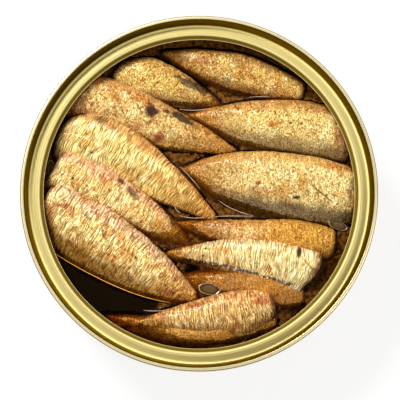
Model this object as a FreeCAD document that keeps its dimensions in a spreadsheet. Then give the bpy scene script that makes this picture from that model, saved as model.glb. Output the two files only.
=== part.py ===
"""Opened round tin of smoked sprats in oil.

Millimetres, +Z up, origin at the centre of the tin's foot.  The tin is a drawn can whose flange is
rolled into the ring that an easy-open lid leaves behind.  The sprats lie on their sides like roof tiles
in two rows, each one's back lying over the belly of the next, and the oil fills the can round them.
Every driving dimension is in the spreadsheet "Sizes".
"""
import FreeCAD, Part
import math
import os

import Sketcher

Vector = FreeCAD.Vector

TIN_SIZES = {
    # the can
    "tin_height": 32.8,
    "seam_radius": 51.15,
    "sheet": 0.25,
    "hook_length": 1.9,
    "foot_rise": 0.8,
    "foot_width": 3.6,
    "panel_slope": 0.9,
    "bead_radius": 30.0,
    "bead_rise": 0.5,
    "heel_round": 2.2,
    "bend": 0.6,
    # the lid's ring
    "seam_height": 3.0,
    "seam_round": 0.5,
    "hook_round": 0.32,
    "hook_play": 0.15,
    "groove_depth": 4.2,
    "groove_radius": 48.9,
    "groove_width": 0.6,
    "crest_depth": 2.0,
    "crest_radius": 46.4,
    "crest_width": 0.7,
    "lip_depth": 3.1,
    "lip_width": 0.35,
    "opening_radius": 44.7,
    "lid_bend": 0.4,
    # the contents
    "oil_depth": 9.6,
    "fish_headspace": 5.0,
    "fish_gap": 1.2,
    "fish_thickness": 8.6,
    "layout_radius": 48.95,
    "fish_roll": 10.0,
    "back_fullness": 0.22,
    "thinning": 0.8,
    "tail_share": 0.15,
}

# Each sprat, from the topmost down: where its cut end and its tail lie, how far its middle bows towards
# its back, its greatest depth from back to belly, how much of that the cut end keeps, how full it stays
# towards the tail, how far along it is deepest, how far its crest lies under the highest one, and how
# far its tail dips.
SPRATS = {
    "sprat_left_5": dict(cut_x=-45.2, cut_y=-2.2, tail_x=-0.8, tail_y=-30.4, bow=-0.5, depth=18.5,
                         cut_share=0.76, fullness=2.45, widest=0.25, drop=0.0, dip=1.0),
    "sprat_right_6": dict(cut_x=21.5, cut_y=-32.3, tail_x=-18.6, tail_y=-37.2, bow=-0.4, depth=13.0,
                          cut_share=0.62, fullness=1.3, widest=0.26, drop=0.4, dip=0.9),
    "sprat_left_4": dict(cut_x=-42.2, cut_y=7.1, tail_x=-2.0, tail_y=-15.0, bow=0.8, depth=16.9,
                         cut_share=0.83, fullness=1.5, widest=0.28, drop=0.7, dip=2.4),
    "sprat_right_5": dict(cut_x=34.5, cut_y=-23.1, tail_x=-10.1, tail_y=-17.2, bow=2.5, depth=13.5,
                          cut_share=0.9, fullness=1.4, widest=0.21, drop=0.2, dip=1.4),
    "sprat_left_3": dict(cut_x=-41.2, cut_y=17.0, tail_x=3.2, tail_y=-5.8, bow=3.3, depth=20.0,
                         cut_share=0.52, fullness=1.3, widest=0.17, drop=0.1, dip=-0.6),
    "sprat_right_4": dict(cut_x=39.0, cut_y=-14.2, tail_x=-6.1, tail_y=-8.1, bow=-1.3, depth=12.8,
                          cut_share=0.62, fullness=1.4, widest=0.3, drop=1.1, dip=0.8),
    "sprat_left_2": dict(cut_x=-37.3, cut_y=30.2, tail_x=9.0, tail_y=13.5, bow=-0.2, depth=16.4,
                         cut_share=0.82, fullness=1.5, widest=0.25, drop=0.5, dip=-1.0),
    "sprat_right_3": dict(cut_x=46.2, cut_y=-0.5, tail_x=-3.8, tail_y=7.4, bow=0.0, depth=18.6,
                          cut_share=0.77, fullness=3.3, widest=0.28, drop=0.0, dip=2.2),
    "sprat_left_1": dict(cut_x=-24.2, cut_y=35.5, tail_x=5.8, tail_y=26.9, bow=1.1, depth=13.9,
                         cut_share=0.54, fullness=1.3, widest=0.28, drop=0.9, dip=0.4),
    "sprat_right_2": dict(cut_x=45.5, cut_y=17.3, tail_x=-2.2, tail_y=23.3, bow=0.3, depth=16.1,
                          cut_share=0.97, fullness=2.2, widest=0.28, drop=0.3, dip=1.2),
    "sprat_right_1": dict(cut_x=30.6, cut_y=30.0, tail_x=-10.9, tail_y=42.0, bow=0.8, depth=11.4,
                          cut_share=0.54, fullness=1.6, widest=0.46, drop=1.0, dip=0.4),
    "sprat_under_south": dict(cut_x=22.5, cut_y=-36.4, tail_x=-28.0, tail_y=-34.6, bow=-4.6, depth=11.0,
                              cut_share=0.8, fullness=2.6, widest=0.22, drop=3.6, dip=0.4),
    "sprat_under_middle": dict(cut_x=30.5, cut_y=-30.2, tail_x=-13.0, tail_y=-24.8, bow=1.0, depth=12.0,
                               cut_share=0.8, fullness=2.2, widest=0.22, drop=3.4, dip=0.2),
    "sprat_under_east": dict(cut_x=41.5, cut_y=-20.2, tail_x=-8.0, tail_y=-14.0, bow=0.5, depth=15.0,
                             cut_share=0.9, fullness=2.2, widest=0.22, drop=4.0, dip=0.2),
}
SPRAT_SECTIONS = 9
SECTION_POINTS = 14

document = FreeCAD.newDocument("tin_of_sprats")
sizes = document.addObject("Spreadsheet::Sheet", "Sizes")


def fill_sheet():
    """Writes every driving dimension to the sheet, one row each, with its name as the cell's alias."""
    rows = dict(TIN_SIZES)
    for label, shape in SPRATS.items():
        for part_of_shape, number in shape.items():
            rows[f"{label}_{part_of_shape}"] = number
    for row, (alias, number) in enumerate(rows.items(), start=1):
        sizes.set(f"A{row}", alias)
        sizes.set(f"B{row}", str(number))
        sizes.setAlias(f"B{row}", alias)
    document.recompute()


def size(expression):
    """The value of an expression in the sheet's aliases."""
    return float(sizes.evalExpression(expression))


def in_sheet(expression):
    """The same expression as another object sees it, with each alias found in the sheet."""
    words = []
    for word in expression.split():
        words.append(f"Sizes.{word}" if word[0].isalpha() else word)
    return " ".join(words)


def rounded_path(label, corners, closed=False):
    """A sketch on the upright plane through the axis: lines through the corners, with rounded bends.

    A corner is (radius from the axis, height, bend radius or None), each an expression in the aliases.
    """
    sketch = document.addObject("Sketcher::SketchObject", label)
    sketch.Placement = FreeCAD.Placement(Vector(0, 0, 0), FreeCAD.Rotation(Vector(1, 0, 0), 90))
    points = [Vector(size(across), size(up), 0) for across, up, bend in corners]
    count = len(corners)
    bends = {}
    for index, (across, up, bend) in enumerate(corners):
        if bend is not None:
            bends[index] = bend_arc(points[index - 1], points[index], points[(index + 1) % count], size(bend))
    lines = {}
    for index in range(count if closed else count - 1):
        after = (index + 1) % count
        start = bends[index][2] if index in bends else points[index]
        end = bends[after][1] if after in bends else points[after]
        lines[index] = sketch.addGeometry(Part.LineSegment(start, end), False)
    for index, (across, up, bend) in enumerate(corners):
        before = (index - 1) % count
        if index in bends:
            arc, near, far, turns_left = bends[index]
            arc_id = sketch.addGeometry(arc, False)
            near_end, far_end = (1, 2) if turns_left else (2, 1)
            sketch.addConstraint(Sketcher.Constraint("Tangent", lines[before], 2, arc_id, near_end))
            sketch.addConstraint(Sketcher.Constraint("Tangent", lines[index], 1, arc_id, far_end))
            drive(sketch, "Radius", (arc_id,), bend)
            corner_id = sketch.addGeometry(Part.Point(points[index]), True)
            sketch.addConstraint(Sketcher.Constraint("PointOnObject", corner_id, 1, lines[before]))
            sketch.addConstraint(Sketcher.Constraint("PointOnObject", corner_id, 1, lines[index]))
            held = (corner_id, 1)
        elif index in lines:
            held = (lines[index], 1)
            if before in lines:
                sketch.addConstraint(Sketcher.Constraint("Coincident", lines[before], 2, lines[index], 1))
        else:
            held = (lines[before], 2)
        drive(sketch, "DistanceX", (-1, 1) + held, across)
        drive(sketch, "DistanceY", (-1, 1) + held, up)
    return sketch


def bend_arc(before, corner, after, radius):
    """The arc that rounds a corner, its two ends, and whether the path turns left there."""
    back = (before - corner).normalize()
    onward = (after - corner).normalize()
    half_angle = back.getAngle(onward) / 2
    reach = radius / math.tan(half_angle)
    near = corner + back * reach
    far = corner + onward * reach
    centre = corner + (back + onward).normalize() * (radius / math.sin(half_angle))
    near_angle = math.atan2(near.y - centre.y, near.x - centre.x)
    far_angle = math.atan2(far.y - centre.y, far.x - centre.x)
    turns_left = (far_angle - near_angle) % (2 * math.pi) < math.pi
    first, last = (near_angle, far_angle) if turns_left else (far_angle, near_angle)
    arc = Part.ArcOfCircle(Part.Circle(centre, Vector(0, 0, 1), radius), first, last)
    return arc, near, far, turns_left


def drive(sketch, kind, where, expression):
    """A dimension of the sketch that the sheet drives; one that is nought stays a plain constraint."""
    value = size(expression)
    if value == 0 and kind == "DistanceX":
        sketch.addConstraint(Sketcher.Constraint("PointOnObject", where[2], where[3], -2))
        return
    index = sketch.addConstraint(Sketcher.Constraint(kind, *where, value))
    name = f"{kind}_{index}"
    sketch.renameConstraint(index, name)
    sketch.setExpression(f"Constraints.{name}", in_sheet(expression))


def revolved(label, source):
    """The solid that a profile sweeps round the tin's axis."""
    turned = document.addObject("Part::Revolution", label)
    turned.Label = label
    turned.Source = source
    turned.Axis = Vector(0, 0, 1)
    turned.Angle = 360
    turned.Solid = True
    turned.Placement = FreeCAD.Placement()
    return turned


def sheet_metal(label, path):
    """Sheet metal of the common thickness, on the right of a path, turned round the axis."""
    band = document.addObject("Part::Offset2D", f"{label}_section")
    band.Source = path
    band.Mode = "Skin"
    band.Fill = True
    band.setExpression("Value", "-Sizes.sheet")
    return revolved(label, band)


# ---------------------------------------------------------------- the tin

# The can's wall stands inside the seam's three outer layers: hook, hook and seam wall.
WALL_INSIDE = "seam_radius - 4 * sheet"
PACK_RADIUS = f"{WALL_INSIDE} - fish_gap"
RIM = "tin_height"


def can_inside_corners():
    """The can's inner face from the axis out to the wall's foot: panel, bead, foot ring and heel."""
    panel = "foot_rise + sheet"
    return [
        ("0 * sheet", f"{panel} + bead_rise", None),
        ("bead_radius - panel_slope", f"{panel} + bead_rise", "bend"),
        ("bead_radius", panel, "bend"),
        (f"{WALL_INSIDE} - foot_width - panel_slope", panel, "bend"),
        (f"{WALL_INSIDE} - foot_width", "sheet", "bend"),
        (WALL_INSIDE, "sheet", "heel_round"),
    ]


def make_can_body():
    """Drawn can: stepped bottom, straight wall, and the flange turned out and down into the seam."""
    corners = can_inside_corners() + [
        (WALL_INSIDE, f"{RIM} - sheet", "hook_round"),
        ("seam_radius - sheet", f"{RIM} - sheet", "hook_round"),
        ("seam_radius - sheet", f"{RIM} - sheet - hook_length", None),
    ]
    return sheet_metal("can_body", rounded_path("can_inner_face", corners))


def make_lid_ring():
    """What the torn-off lid leaves: raw lip, step, crest, groove, chuck wall and the rolled seam."""
    wall_face = "seam_radius - 3 * sheet"
    corners = [
        ("opening_radius", f"{RIM} - lip_depth", None),
        ("opening_radius + lip_width", f"{RIM} - lip_depth", "lid_bend"),
        ("crest_radius - crest_width / 2", f"{RIM} - crest_depth", "lid_bend"),
        ("crest_radius + crest_width / 2", f"{RIM} - crest_depth", "lid_bend"),
        ("groove_radius - groove_width", f"{RIM} - groove_depth", "lid_bend"),
        ("groove_radius", f"{RIM} - groove_depth", "lid_bend"),
        (f"{WALL_INSIDE} - sheet", RIM, "seam_round"),
        ("seam_radius", RIM, "seam_round"),
        ("seam_radius", f"{RIM} - seam_height", "hook_round"),
        (wall_face, f"{RIM} - seam_height", "hook_round"),
        (wall_face, f"{RIM} - 2 * sheet - hook_play", None),
    ]
    return sheet_metal("lid_ring", rounded_path("lid_upper_face", corners))


def make_oil_fill():
    """The can's inside up to the oil's level, before the sprats are taken out of it."""
    corners = can_inside_corners() + [
        (WALL_INSIDE, f"{RIM} - oil_depth", None),
        ("0 * sheet", f"{RIM} - oil_depth", None),
    ]
    return revolved("oil_fill", rounded_path("oil_section", corners, closed=True))


# ---------------------------------------------------------------- the sprats

def depth_along(share, shape):
    """How deep a sprat is at a share of its length, as a share of its greatest depth."""
    widest = shape["widest"]
    tail = size("tail_share")
    if share < widest:
        return shape["cut_share"] + (1 - shape["cut_share"]) * math.sin(math.pi / 2 * share / widest)
    past = (share - widest) / (1 - widest)
    return tail + (1 - tail) * (1 - past ** shape["fullness"])


def sprat_sections(shape):
    """Rings of points from the cut end to the tail, before the sprat is lifted to its level."""
    scale = size(PACK_RADIUS) / size("layout_radius")
    cut_end = Vector(shape["cut_x"], shape["cut_y"], 0) * scale
    tail_end = Vector(shape["tail_x"], shape["tail_y"], 0) * scale
    run = (tail_end - cut_end).normalize()
    side = Vector(0, 0, 1).cross(run)
    if side.y < 0:
        side = side * -1
    roll = math.radians(size("fish_roll"))
    across = side * math.cos(roll) + Vector(0, 0, 1) * math.sin(roll)
    upward = Vector(0, 0, 1) * math.cos(roll) - side * math.sin(roll)
    rings = []
    for station in range(SPRAT_SECTIONS):
        share = station / (SPRAT_SECTIONS - 1)
        middle = cut_end + (tail_end - cut_end) * share
        middle = middle + side * (shape["bow"] * scale * math.sin(math.pi * share))
        middle.z = -shape["dip"] * share
        full = depth_along(share, shape)
        half_depth = shape["depth"] * scale * full / 2
        half_thickness = size("fish_thickness") * full ** size("thinning") / 2
        ring = []
        for step in range(SECTION_POINTS):
            turn = 2 * math.pi * step / SECTION_POINTS
            reach = math.cos(turn)
            rise = math.sin(turn) * (1 + size("back_fullness") * reach)
            ring.append(middle + across * (half_depth * reach) + upward * (half_thickness * rise))
        rings.append(ring)
    return rings


def make_sprat_blank(label):
    """One headless sprat as it would lie alone, a loft through its sections, crest at its own level."""
    shape = {name: size(f"{label}_{name}") for name in SPRATS[label]}
    rings = sprat_sections(shape)
    crest = max(point.z for ring in rings for point in ring)
    lift = Vector(0, 0, size("tin_height - fish_headspace") - shape["drop"] - crest)
    wires = []
    for ring in rings:
        curve = Part.BSplineCurve()
        curve.interpolate([point + lift for point in ring], PeriodicFlag=True)
        wires.append(Part.Wire(curve.toShape()))
    blank = document.addObject("Part::Feature", f"{label}_blank")
    blank.Shape = Part.makeLoft(wires, True, False)
    blank.Placement = FreeCAD.Placement()
    return blank


def make_room():
    """The space the sprats are packed into: a cylinder a little clear of the can's wall."""
    room = document.addObject("Part::Cylinder", "room")
    room.setExpression("Radius", in_sheet(PACK_RADIUS))
    room.setExpression("Height", in_sheet("tin_height"))
    return room


def boolean(kind, name, base, tool):
    """A cut or common whose faces stay as they come, since merging them is slow on lofted faces."""
    result = document.addObject(kind, name)
    result.Base = base
    result.Tool = tool
    result.Refine = False
    return result


def hold_in_can(label, blank, room):
    """The sprat's blank without what would stand in the can's wall."""
    return boolean("Part::Common", f"{label}_held", blank, room)


def press_sprats(held):
    """Each sprat pressed in by every sprat that lies on it, so that they meet face to face."""
    sprats = []
    laid = []
    for label, lone in held.items():
        sprat = lone
        for above in laid:
            if not lone.Shape.BoundBox.intersect(above.Shape.BoundBox):
                continue
            if lone.Shape.common(above.Shape).Volume == 0:
                continue
            sprat = boolean("Part::Cut", f"{label}_under_{above.Name}", sprat, above)
        laid.append(lone)
        sprat.Label = label
        sprats.append(sprat)
    document.recompute()
    return sprats


def make_oil(fill, held):
    """The oil up to its level, cut round the whole pack of sprats."""
    pack = document.addObject("Part::MultiFuse", "pack_of_sprats")
    pack.Shapes = list(held.values())
    pack.Refine = False
    return boolean("Part::Cut", "oil", fill, pack)


def check_and_write(pieces):
    """Refuses a failed or invalid object, then writes each piece to its own STEP file."""
    for thing in document.Objects:
        if any(word in thing.State for word in ("Invalid", "Error")):
            raise RuntimeError(f"{thing.Label} failed: {thing.State}")
    for piece in pieces:
        if piece.Shape.isNull() or not piece.Shape.isValid():
            raise RuntimeError(f"{piece.Label} has no valid shape")
        if len(piece.Shape.Solids) != 1:
            raise RuntimeError(f"{piece.Label} is {len(piece.Shape.Solids)} solids, not one")
        print(f"{piece.Label}: {piece.Shape.Volume:.1f} mm3")
    os.makedirs("parts", exist_ok=True)
    for piece in pieces:
        piece.Shape.exportStep(f"parts/{piece.Label}.step")


fill_sheet()
can_body = make_can_body()
lid_ring = make_lid_ring()
oil_fill = make_oil_fill()
document.recompute()
room = make_room()
held = {label: hold_in_can(label, make_sprat_blank(label), room) for label in SPRATS}
document.recompute()
sprats = press_sprats(held)
oil = make_oil(oil_fill, held)
document.recompute()
check_and_write([can_body, lid_ring, oil] + sprats)
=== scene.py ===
"""Looks for the opened round tin of smoked sprats in oil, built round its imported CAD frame.

Metres, +Z up.  The tin's sheet metal is turned again from the CAD nodes' own sections.  Each sprat is a
fine mesh fitted to the back edge and crest of its CAD solid, with wrinkled, pitted skin.
"""
import math

import bmesh
import bpy
import numpy as np
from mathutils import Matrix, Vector, kdtree


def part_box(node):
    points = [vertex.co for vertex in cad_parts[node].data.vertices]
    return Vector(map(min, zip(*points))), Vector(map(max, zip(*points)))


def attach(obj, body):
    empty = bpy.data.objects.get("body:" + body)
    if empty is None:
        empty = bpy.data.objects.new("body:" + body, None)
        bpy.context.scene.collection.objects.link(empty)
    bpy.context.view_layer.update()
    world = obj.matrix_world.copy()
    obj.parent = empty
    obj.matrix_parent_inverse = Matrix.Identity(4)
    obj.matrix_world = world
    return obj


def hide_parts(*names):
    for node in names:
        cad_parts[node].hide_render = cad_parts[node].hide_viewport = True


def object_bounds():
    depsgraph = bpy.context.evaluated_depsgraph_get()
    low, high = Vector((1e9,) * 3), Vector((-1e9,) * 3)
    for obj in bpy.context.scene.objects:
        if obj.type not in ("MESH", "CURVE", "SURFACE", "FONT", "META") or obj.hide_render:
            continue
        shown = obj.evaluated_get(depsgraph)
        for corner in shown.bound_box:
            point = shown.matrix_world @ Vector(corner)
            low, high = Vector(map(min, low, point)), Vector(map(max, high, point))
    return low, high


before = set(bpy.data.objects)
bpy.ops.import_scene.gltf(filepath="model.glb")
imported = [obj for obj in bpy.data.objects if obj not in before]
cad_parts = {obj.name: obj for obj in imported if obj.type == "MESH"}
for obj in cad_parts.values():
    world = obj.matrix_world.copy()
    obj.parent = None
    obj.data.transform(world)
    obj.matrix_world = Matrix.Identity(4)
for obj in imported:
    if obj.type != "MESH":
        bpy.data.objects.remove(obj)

MM = 0.001
CAD_BOUNDS = [list(corner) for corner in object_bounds()]
TIN_HEIGHT = CAD_BOUNDS[1][2]
OIL_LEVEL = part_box("oil")[1].z
WALL_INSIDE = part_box("oil")[1].x
PACK_RADIUS = max(math.hypot(vertex.co.x, vertex.co.y)
                  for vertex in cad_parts["sprat_right_3"].data.vertices)

# Lamps: azimuth from the front towards +X and elevation in degrees, distance, size and watts.
LAMPS = {"key": (218, 52, 0.9, 0.26, 7.8), "fill": (70, 48, 1.0, 0.4, 2.0)}
WORLD_LIGHT = 0.78
WORLD_COLOUR = (1.0, 0.99, 0.97, 1)
SKY_FADES = (0.84, 0.95)  # between which heights of the sky it darkens towards straight above
SKY_TOP = 0.06            # the share of its light that is left there
CAMERA_LENS, CAMERA_ELEVATION, CAMERA_AWAY = 157.8, 83.4, 0.5
CAMERA_AIM = (0.00027, -0.00247, TIN_HEIGHT)
FLOOR_SEEN = 0.79         # the floor's own light to the camera, which keeps it pale


# ---------------------------------------- seeded noise

SEED = 7
HASH_STEPS = (2246822519, 3266489917)
OCTAVE_SALT = 31


def hashed(*whole, salt=0):
    """A repeatable number from 0 to 1 for each whole-number place."""
    mixed = np.full(whole[0].shape, 374761393 * (salt + SEED), dtype=np.uint32)
    for axis, step in zip(whole, HASH_STEPS):
        mixed ^= axis.astype(np.int64).astype(np.uint32) * np.uint32(step)
        mixed = (mixed << np.uint32(13)) | (mixed >> np.uint32(19))
        mixed = mixed * np.uint32(1274126177)
    mixed ^= mixed >> np.uint32(15)
    return mixed / 4294967295.0


def smooth_noise(x, y, salt):
    """Value noise from -1 to 1 on a plane, one cell a unit."""
    cell_x, cell_y = np.floor(x), np.floor(y)
    share_x, share_y = x - cell_x, y - cell_y
    share_x = share_x * share_x * (3 - 2 * share_x)
    share_y = share_y * share_y * (3 - 2 * share_y)
    low, high = (hashed(cell_x, row, salt=salt) * (1 - share_x)
                 + hashed(cell_x + 1, row, salt=salt) * share_x for row in (cell_y, cell_y + 1))
    return (low * (1 - share_y) + high * share_y) * 2 - 1


def cloudy(x, y, salt, octaves):
    """Several octaves of smooth noise, each half as strong as the last, about -1 to 1."""
    total = sum(0.5 ** octave * smooth_noise(x * 2 ** octave, y * 2 ** octave, salt + OCTAVE_SALT * octave)
                for octave in range(octaves))
    return total / (2 - 0.5 ** (octaves - 1))


def cells(x, y, salt):
    """Distances to the nearest and second nearest of one scattered point a unit cell, and its number."""
    nearest, second, number = np.full(x.shape, 9.0), np.full(x.shape, 9.0), np.zeros(x.shape)
    for step_x in (-1, 0, 1):
        for step_y in (-1, 0, 1):
            at_x, at_y = np.floor(x) + step_x, np.floor(y) + step_y
            away = np.hypot(at_x + hashed(at_x, at_y, salt=salt) - x,
                            at_y + hashed(at_x, at_y, salt=salt + 1) - y)
            closer = away < nearest
            second = np.where(closer, nearest, np.minimum(second, away))
            number = np.where(closer, hashed(at_x, at_y, salt=salt + 2), number)
            nearest = np.where(closer, away, nearest)
    return nearest, second, number


def ramp(value, low, high):
    """Nought below low, one above high, smooth between."""
    share = np.clip((value - low) / (high - low), 0, 1)
    return share * share * (3 - 2 * share)


# ---------------------------------------- meshes and colours

def mesh_object(name, points, faces):
    mesh = bpy.data.meshes.new(name)
    mesh.from_pydata([tuple(point) for point in points], [], [tuple(face) for face in faces])
    mesh.polygons.foreach_set("use_smooth", [True] * len(mesh.polygons))
    mesh.update()
    made = bpy.data.objects.new(name, mesh)
    bpy.context.scene.collection.objects.link(made)
    return made


def add_values(piece, name, values, kind="FLOAT", field="value"):
    """A number or vector for each point of a mesh, for its material to read."""
    layer = piece.data.attributes.new(name, kind, "POINT")
    layer.data.foreach_set(field, np.asarray(values, dtype=np.float32).ravel())


def add_colour(piece, name, colours):
    layer = piece.data.color_attributes.new(name, "FLOAT_COLOR", "POINT")
    whole = np.hstack([colours, np.ones((len(colours), 1))])
    layer.data.foreach_set("color", whole.astype(np.float32).ravel())


def read_mesh(parts, field, kind, width=1):
    """One field of all a mesh's points, edges, corners or faces, so many numbers each."""
    values = np.zeros(len(parts) * width, dtype=kind)
    parts.foreach_get(field, values)
    return values.reshape(-1, width) if width > 1 else values


def tidy_mesh(piece):
    """Joins points that meet on the axis and turns every face outward."""
    work = bmesh.new()
    work.from_mesh(piece.data)
    bmesh.ops.remove_doubles(work, verts=work.verts, dist=1e-7)
    bmesh.ops.recalc_face_normals(work, faces=work.faces)
    work.to_mesh(piece.data)
    work.free()


def ring_faces(rings, points):
    """Quads between closed rings of points that are laid one after another."""
    faces = []
    for ring in range(0, (rings - 1) * points, points):
        for step in range(points):
            after = (step + 1) % points
            faces.append((ring + step, ring + after, ring + points + after, ring + points + step))
    return faces


def tube_faces(rings, points, first=0):
    """The same quads and a face over each end, counted from a first point; tidy_mesh turns them outward."""
    ends = [tuple(range(points)), tuple(range((rings - 1) * points, rings * points))]
    return [tuple(first + index for index in face) for face in ring_faces(rings, points) + ends]


def bent(start, bend, end, share):
    """A place on the curve from start to end that is drawn towards bend."""
    return (1 - share) ** 2 * start + 2 * share * (1 - share) * bend + share ** 2 * end


def spun(along, wide, degrees):
    """A level place, turned to the left about the origin."""
    lean = math.radians(degrees)
    return along * math.cos(lean) - wide * math.sin(lean), along * math.sin(lean) + wide * math.cos(lean)


def leftward(line):
    """The level ways that point to the left of a line at each of its places."""
    ahead = np.gradient(line, axis=0)
    return np.column_stack([-ahead[:, 1], ahead[:, 0]]) / np.linalg.norm(ahead, axis=1)[:, None]


def linear(red, green, blue):
    """A screen colour, 0 to 255 each, as linear light."""
    share = np.array([red, green, blue]) / 255.0
    return np.where(share <= 0.04045, share / 12.92, ((share + 0.055) / 1.055) ** 2.4)


def rgba(colour):
    return (float(colour[0]), float(colour[1]), float(colour[2]), 1.0)


# ---------------------------------------- materials

class Shader:
    """A material or a world whose nodes are added by short calls."""

    def __init__(self, name, kind="materials"):
        self.made = getattr(bpy.data, kind).new(name)
        self.made.use_nodes = True
        self.tree = self.made.node_tree

    def add(self, kind, inputs=None, **settings):
        """A new node's outputs, once its settings and inputs are made."""
        node = self.tree.nodes.new("ShaderNode" + kind)
        for name, value in settings.items():
            setattr(node, name, value)
        for socket, value in (inputs or {}).items():
            self.set(node, socket, value)
        return node.outputs

    def set(self, node, socket, value):
        if isinstance(value, bpy.types.NodeSocket):
            self.tree.links.new(value, node.inputs[socket])
        else:
            node.inputs[socket].default_value = value

    def place(self):
        return self.add("TexCoord")["Object"]

    def read(self, name, output="Fac"):
        """What the mesh holds for each of its points under a name."""
        return self.add("Attribute", attribute_name=name)[output]

    def maths(self, operation, first, second, clamp=False):
        return self.add("Math", {0: first, 1: second}, operation=operation, use_clamp=clamp)[0]

    def vector(self, operation, first, second=(0, 0, 0)):
        return self.add("VectorMath", {0: first, 1: second}, operation=operation)

    def noise(self, scale, detail, roughness, where):
        return self.add("TexNoise", {"Scale": scale, "Detail": detail, "Roughness": roughness,
                                     "Vector": where})["Fac"]

    def blend(self, share, first, second, mode="MIX"):
        return self.add("Mix", {0: share, 6: first, 7: second}, data_type="RGBA", blend_type=mode)[2]

    def dyed(self, share, colour, tint):
        """A colour times a tint, as far as the share goes."""
        return self.blend(share, colour, rgba(tint), "MULTIPLY")

    def spread(self, value, low, high, to_low=0.0, to_high=1.0):
        return self.add("MapRange", {"Value": value, "From Min": low, "From Max": high,
                                     "To Min": to_low, "To Max": to_high})[0]

    def banded(self, value, stops):
        """A colour for each value from 0 to 1, by places and their colours in rising order."""
        out = self.add("ValToRGB", {"Fac": value})["Color"]
        elements = out.node.color_ramp.elements
        for _ in stops[2:]:
            elements.new(1.0)
        for element, (position, colour) in zip(elements, stops):
            element.position = position
            element.color = rgba(colour)
        return out

    def bump(self, height, distance, strength):
        return self.add("Bump", {"Height": height, "Distance": distance, "Strength": strength})[0]

    def shape(self, node="Principled BSDF", **sockets):
        for name, value in sockets.items():
            self.set(self.tree.nodes[node], name.replace("_", " "), value)


METAL_GRAIN = (2600.0, 3.0, 0.6)  # scale, detail and roughness
GRAIN_HEIGHT = 0.004 * MM


def can_material(name, colour, roughness):
    """Gold lacquer over tinplate: satin metal with faint cloudiness and fine grain."""
    shader = Shader(name)
    place = shader.place()
    clouds = shader.noise(70.0, 4.0, 0.55, place)
    warm = shader.blend(shader.spread(clouds, 0.35, 0.65), rgba(colour), rgba(colour * (0.95, 0.93, 0.88)))
    shader.shape(Base_Color=warm, Metallic=0.9,
                 Roughness=shader.spread(clouds, 0.3, 0.7, roughness, roughness + 0.08),
                 Normal=shader.bump(shader.noise(*METAL_GRAIN, place), GRAIN_HEIGHT, 0.6))
    return shader.made


# The lid ring's lacquer from the lip outward: each band's inner and outer radius in mm and its colour.
# Pale on the open metal, with pale lines on the lip, crest, groove edge and seam top that are painted
# highlights;
# dark olive on the steep walls and in the thin darker bands, as painted shade.
RING_LIGHT_AND_SHADE_BANDS = (
    (44.4, 44.74, linear(226, 206, 150)),
    (44.82, 45.62, linear(104, 84, 2)),
    (45.80, 46.26, linear(224, 208, 148)),
    (46.38, 46.48, linear(176, 158, 92)),
    (46.62, 47.30, linear(212, 194, 124)),
    (47.60, 48.50, linear(228, 212, 140)),
    (48.58, 48.94, linear(250, 238, 170)),
    (49.10, 50.10, linear(84, 64, 1)),
    (50.20, 50.84, linear(250, 236, 186)),
    (50.92, 52.0, linear(122, 104, 52)),
)
# Radii in metres between which the ring changes: into and out of the cone, and into and out of the groove.
CONE_IN, CONE_OUT = (46.5 * MM, 46.8 * MM), (48.6 * MM, 48.4 * MM)
GROOVE_IN, GROOVE_OUT = (48.92 * MM, 49.1 * MM), (50.08 * MM, 50.22 * MM)
CONE_FLATNESS = 0.55


def ring_material(name):
    """The same lacquer on the lid's ring, brushed by its own turning, with its highlights and shade painted
    in bands by radius.
    """
    shader = Shader(name)
    place = shader.place()
    away = shader.vector("LENGTH", shader.vector("MULTIPLY", place, (1, 1, 0))[0])["Value"]
    inner, outer = RING_LIGHT_AND_SHADE_BANDS[0][0] * MM, RING_LIGHT_AND_SHADE_BANDS[-1][1] * MM
    stops = [((radius * MM - inner) / (outer - inner), colour)
             for start, end, colour in RING_LIGHT_AND_SHADE_BANDS for radius in (start, end)]
    # the ring's highlights and shade, painted by radius
    bands = shader.banded(shader.spread(away, inner, outer), stops)
    clouds = shader.noise(60.0, 4.0, 0.55, place)
    turning = shader.noise(9000.0, 2.0, 0.5, shader.add("CombineXYZ", {0: away})[0])
    warm = shader.dyed(shader.spread(clouds, 0.35, 0.65, 0.0, 0.5), bands, (0.92, 0.9, 0.84))
    lined = shader.dyed(shader.spread(turning, 0.4, 0.65, 0.0, 0.3), warm, (0.86, 0.84, 0.78))
    # the cone between crest and groove is gently dished, so it shades flatter than its mean slope
    dished = shader.maths("MULTIPLY", shader.spread(away, *CONE_IN), shader.spread(away, *CONE_OUT), True)
    grain = shader.bump(shader.noise(*METAL_GRAIN, place), GRAIN_HEIGHT, 0.6)
    leaning = shader.add("Mix", {0: shader.maths("MULTIPLY", dished, CONE_FLATNESS), 4: grain,
                                 5: (0.0, 0.0, 1.0)}, data_type="VECTOR")[1]
    shader.shape(Base_Color=lined, Specular_Tint=rgba((0.85, 0.68, 0.25)),
                 Metallic=shader.maths("MULTIPLY", shader.spread(away, *GROOVE_IN, 0.12, 0.95),
                                       shader.spread(away, *GROOVE_OUT, 1.0, 0.6)),
                 Roughness=shader.spread(away, *GROOVE_IN, 0.4, 0.26),
                 Normal=shader.vector("NORMALIZE", leaning)[0])
    return shader.made


WRINKLE_RUN, GRAIN_RUN = (3.1, 0.26, 1.0), (3.3, 1.7, 1.0)  # marks a mm along and round the skin
BUMP_HOLLOW_SHADE, BUMP_CREST_HIGHLIGHT = (0.43, 0.25, 0.055), (1.36, 1.54, 1.9)
SKIN_BUMP = 0.26 * MM
OIL_IOR = 1.47


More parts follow.
